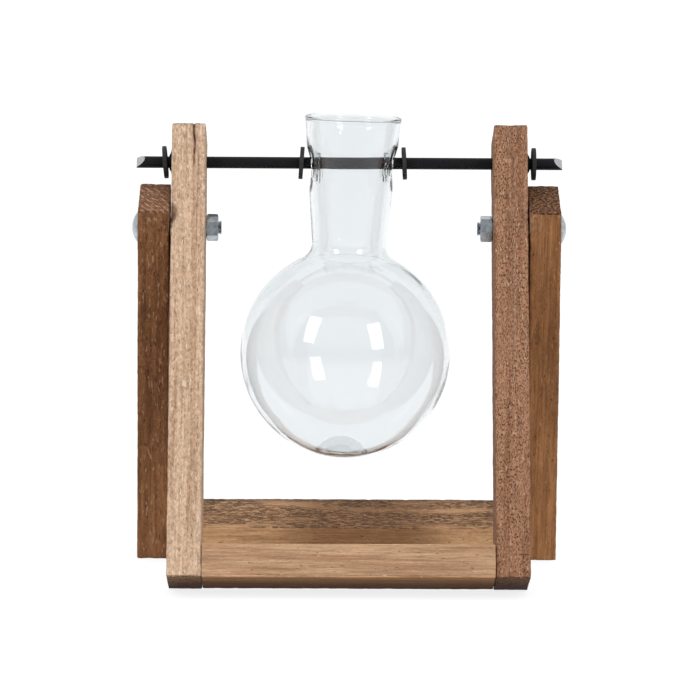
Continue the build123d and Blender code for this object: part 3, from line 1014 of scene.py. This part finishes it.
# %% Skins and holes
SEGMENTS = 192
BESIDE = 20
NECK_AT_HOLE = 16
HOLE_Z = -1.7
THROAT = 4.3
THROAT_X = 14.51
BEAD = 1.0
MOUTH = 9.4
INNER_FLARE = 0.78
SAG = 0.10
FLAT_RINGS = 4
PULLED_RINGS = 12


def hole_z(side):
    """Height of a hole's centre. The rod is level while the vase leans, so one hole is the higher one."""
    return HOLE_Z + side * NECK_AT_HOLE * sin(TILT)


def skin(shape, rows, shrink, ring_angles=None):
    """One skin with its two hole patches. Returns its top row, and each side's last ring with its angles."""
    first = len(UPPER_ROWS)
    last = first + len(HOLE_ROWS) - 1
    grid = []
    for i, (radius, z) in enumerate(rows[:-1]):
        line = []
        for k in range(SEGMENTS):
            beside = min(k % (SEGMENTS // 2), SEGMENTS // 2 - k % (SEGMENTS // 2))
            cut_out = first < i < last and beside < BESIDE
            turn = 2 * pi * k / SEGMENTS
            line.append(None if cut_out else shape.verts.new((radius * cos(turn), radius * sin(turn), z)))
        grid.append(line)
    for i in range(len(grid) - 1):
        for k in range(SEGMENTS):
            after = (k + 1) % SEGMENTS
            quad = (grid[i][k], grid[i + 1][k], grid[i + 1][after], grid[i][after])
            middle = (k + 0.5) % (SEGMENTS // 2)
            inside = first <= i < last and min(middle, SEGMENTS // 2 - middle) < BESIDE
            if not inside:
                shape.faces.new(quad)
    pole = shape.verts.new((0, 0, rows[-1][1]))
    for k in range(SEGMENTS):
        shape.faces.new((grid[-1][k], pole, grid[-1][(k + 1) % SEGMENTS]))
    ends = {}
    for side, centre in ((1, 0), (-1, SEGMENTS // 2)):
        outline = [(first, c) for c in range(-BESIDE, BESIDE)]
        outline += [(r, BESIDE) for r in range(first, last)]
        outline += [(last, -c) for c in range(-BESIDE, BESIDE)]
        outline += [(r, -BESIDE) for r in range(last, first, -1)]
        ring = [grid[r][(centre + c) % SEGMENTS] for r, c in outline]
        angles = [math.atan2(v.co.z - hole_z(side), v.co.y) for v in ring]
        if ring_angles:
            angles = ring_angles[side]
        ends[side] = (hole_rings(shape, ring, angles, side, shrink), angles)
    return grid[0], ends


def hole_rings(shape, ring, angles, side, shrink):
    """Leads a rectangular outline in to the throat and returns the last ring."""
    mouth = MOUTH + INNER_FLARE * shrink
    throat = THROAT + (2 * BEAD if shrink else 0)
    depth = neck_radius(0) - shrink - THROAT_X
    height = hole_z(side)
    start = [Vector((v.co.y, v.co.z)) for v in ring]
    steps = [("flat", j / FLAT_RINGS) for j in range(1, FLAT_RINGS + 1)]
    steps += [("pulled", j / PULLED_RINGS) for j in range(1, PULLED_RINGS + 1)]
    for kind, share in steps:
        now = []
        for begin, angle in zip(start, angles):
            long_mouth = mouth * (1 + SAG * max(0.0, -sin(angle)))
            if kind == "flat":
                at = begin.lerp(Vector((long_mouth * cos(angle), height + long_mouth * sin(angle))), share)
                pulled, plane = 0.0, 0.0
            else:
                bend = share * pi / 2
                reach = long_mouth - (long_mouth - throat) * sin(bend)
                at = Vector((reach * cos(angle), height + reach * sin(angle)))
                pulled, plane = depth * (1 - cos(bend)), smooth(share)
            curved = sqrt((neck_radius(at.y) - shrink) ** 2 - at.x**2)
            x = curved * (1 - plane) + (THROAT_X + depth) * plane - pulled
            now.append(shape.verts.new((side * x, at.x, at.y)))
        join(shape, ring, now)
        ring = now
    return ring


def join(shape, first, second):
    """Quads between two closed rings of as many points."""
    for k in range(len(first)):
        after = (k + 1) % len(first)
        shape.faces.new((first[k], second[k], second[after], first[after]))


# %% [markdown]
# ## Lips, rim and the flow of the glass
#
# A half-round lip joins the two skins at each hole, and a wider one makes the melted rim. Blown glass
# is never quite even, so slow noise pushes the skin in by up to a sixth of a millimetre. The lips stay
# true, because the rod lies on them.

# %% The vase
LIP_RINGS = 7
RIM_RINGS = 12


def lip(shape, ring, angles, side, last):
    """The rounded edge of one hole, from the outer skin's last ring to the inner skin's."""
    for j in range(1, LIP_RINGS):
        bend = pi * j / LIP_RINGS
        reach, x = THROAT + BEAD - BEAD * cos(bend), THROAT_X - BEAD * sin(bend)
        circle = [(reach * cos(a), hole_z(side) + reach * sin(a)) for a in angles]
        now = [shape.verts.new((side * x, y, z)) for y, z in circle]
        join(shape, ring, now)
        ring = now
    join(shape, ring, last)


def melted_rim(shape, ring, last):
    """The rounded rim, from the outer skin's top row to the inner skin's."""
    for j in range(RIM_RINGS + 1):
        bend = pi * j / RIM_RINGS
        now = level_ring(shape, NECK_TOP - LIP + LIP * cos(bend), RIM - LIP + LIP * sin(bend), SEGMENTS)
        join(shape, ring, now)
        ring = now
    join(shape, ring, last)


def flow(shape):
    """Makes the skin uneven. All moves are found first, so that they follow the even skin's normals."""
    moves = []
    for vertex in shape.verts:
        at = vertex.co
        calm = smooth((Vector((abs(at.x), at.y, at.z)) - Vector((THROAT_X, 0, HOLE_Z))).length / 9 - 0.7)
        slow = 0.5 + 0.5 * noise.noise(at / 17 + Vector((3, 1, 8)))
        quick = 0.5 + 0.5 * noise.noise(at / 5.5)
        moves.append(vertex.normal * -(0.16 * slow + 0.02 * quick) * calm)
    for vertex, move in zip(shape.verts, moves):
        vertex.co += move


def glass():
    """The whole vase, made about its own axis with the rod's axis at height 0, and then hung on the rod."""
    shape = bmesh.new()
    top_out, holes_out = skin(shape, outer, 0.0)
    top_in, holes_in = skin(shape, inner, NECK_WALL, {s: holes_out[s][1] for s in holes_out})
    for side in (1, -1):
        lip(shape, *holes_out[side], side, holes_in[side][0])
    melted_rim(shape, top_out, top_in)
    bmesh.ops.recalc_face_normals(shape, faces=shape.faces)
    shape.normal_update()
    flow(shape)
    hang = Matrix.Scale(mm, 4) @ Matrix.Translation((SHIFT, ROD_Y, ROD_Z)) @ Matrix.Rotation(TILT, 4, "Y")
    for vertex in shape.verts:
        vertex.co = hang @ vertex.co
    open_edges = sum(1 for edge in shape.edges if not edge.is_manifold)
    piece = mesh_object("vase", shape)
    piece.data.polygons.foreach_set("use_smooth", [True] * len(piece.data.polygons))
    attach(piece, "vase")
    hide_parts("glass_vase")
    print("vase", len(piece.data.polygons), "faces", open_edges, "open edges")
    return piece


vase = glass()

# %% [markdown]
# ## Clear glass
#
# Soda glass has a refractive index of 1.5 and a faint blue-green tint. The wall is thin, so the middle
# of the bulb only dims what lies behind it, and the colour gathers at the edges, where light runs along
# the wall.

# %% Glass finish
def clear_glass():
    made, output, place = material("clear_glass")
    haze = place.noise(0.12, 3, 0.6, 5).step(0.5, 0.8) * 0.015
    surface(
        output, place, Base_Color=(0.885, 0.902, 0.910, 1), Transmission_Weight=1.0, IOR=1.5,
        Roughness=haze, Normal=relief(place, place.noise(0.11, 2, 0.5, 3), 0.05),
    )
    return made


vase.data.materials.append(clear_glass())
